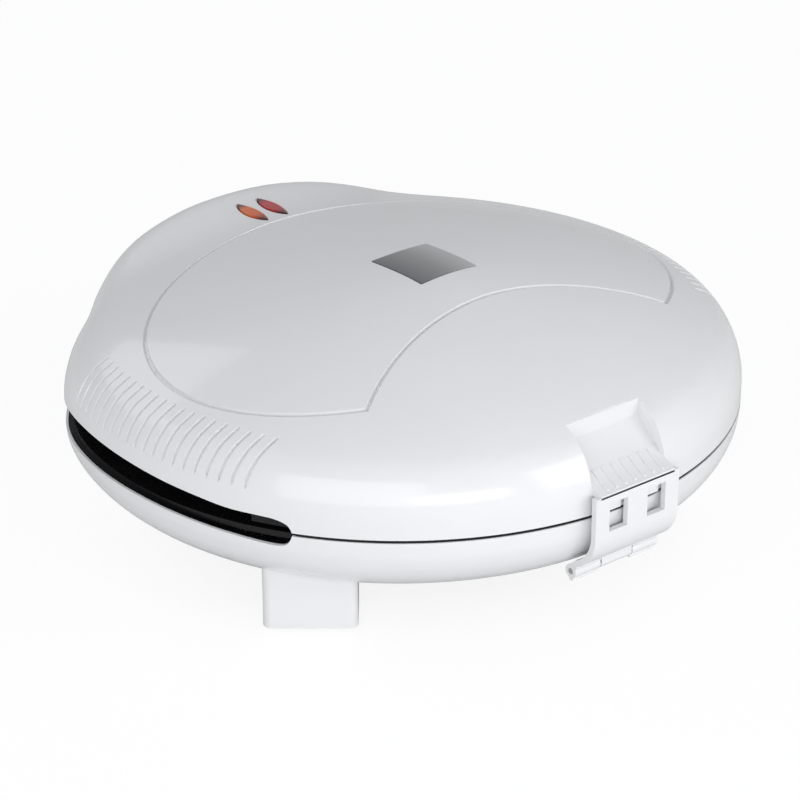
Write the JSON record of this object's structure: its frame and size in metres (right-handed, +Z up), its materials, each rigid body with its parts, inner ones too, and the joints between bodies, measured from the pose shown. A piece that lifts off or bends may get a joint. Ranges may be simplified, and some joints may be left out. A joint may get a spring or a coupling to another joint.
{
  "type": "sandwich maker",
  "caption": "Round domed sandwich maker with a hinged lid, pocketed hot plates, side finger mouths, a front latch and indicator lights.",
  "frame": {"origin": "on the counter, under the middle of the closed object's bounding box", "axes": "+Z up, -Y towards the front with the latch, +Y towards the hinge, +X to the right seen from the front"},
  "size_m": [0.25, 0.2409, 0.1],
  "materials": {
    "body_plastic": "smooth gloss, cool light grey",
    "black_plastic": "high gloss black",
    "nonstick_plate": "dark non-stick coat",
    "element_steel": "dull heat-stained steel",
    "spring_steel": "plain rolled",
    "shield_sheet": "bright rolled sheet",
    "screw_steel": "zinc plated",
    "badge_metal": "fine brushed silver",
    "amber_lens": "clear tinted, polished",
    "red_lens": "clear tinted, polished",
    "lamp_glass": "clear",
    "holder_plastic": "natural",
    "pin_steel": "ground",
    "pad_rubber": "matt",
    "cover_plastic": "fine texture, black",
    "gland_rubber": "matt",
    "fuse_metal": "plain",
    "block_plastic": "natural",
    "wire_sleeve": "braided glass sleeve"
  },
  "bodies": {
    "base": {"base_shell": "body_plastic", "base_liner": "black_plastic", "lower_plate": "nonstick_plate", "lower_element": "element_steel", "lower_element_clamps": "spring_steel", "lower_heat_shield": "shield_sheet", "lower_plate_screws": "screw_steel", "lower_plate_brackets": "spring_steel", "base_screws": "screw_steel", "foot_pads": "pad_rubber", "bottom_cover": "cover_plastic", "cover_screws": "screw_steel", "hinge_pins": "pin_steel", "cord_gland": "gland_rubber", "lower_thermal_fuse": "fuse_metal", "thermostat": "fuse_metal", "terminal_block": "block_plastic", "base_leads": "wire_sleeve", "base_hinge_lead": "wire_sleeve", "latch_pin": "pin_steel", "feet": "body_plastic"},
    "lid": {"lid_shell": "body_plastic", "lid_liner": "black_plastic", "upper_plate": "nonstick_plate", "upper_element": "element_steel", "upper_element_clamps": "spring_steel", "upper_plate_brackets": "spring_steel", "upper_heat_shield": "shield_sheet", "upper_plate_screws": "screw_steel", "lid_screws": "screw_steel", "badge_plate": "badge_metal", "ready_lens": "amber_lens", "power_lens": "red_lens", "indicator_lamps": "lamp_glass", "lamp_holder": "holder_plastic", "upper_thermal_fuse": "fuse_metal", "lid_hinge_lead": "wire_sleeve"},
    "latch": {"latch_plate": "body_plastic"}
  },
  "joints": [
    {"name": "lid_hinge", "type": "hinge", "parent": "base", "child": "lid", "pos_m": [0, 0.11195, 0.047], "axis": [-1, 0, 0], "range_deg": [0, 95]},
    {"name": "latch_pivot", "type": "hinge", "parent": "base", "child": "latch", "pos_m": [0, -0.10845, 0.0234], "axis": [1, 0, 0], "range_deg": [0, 70]}
  ]
}
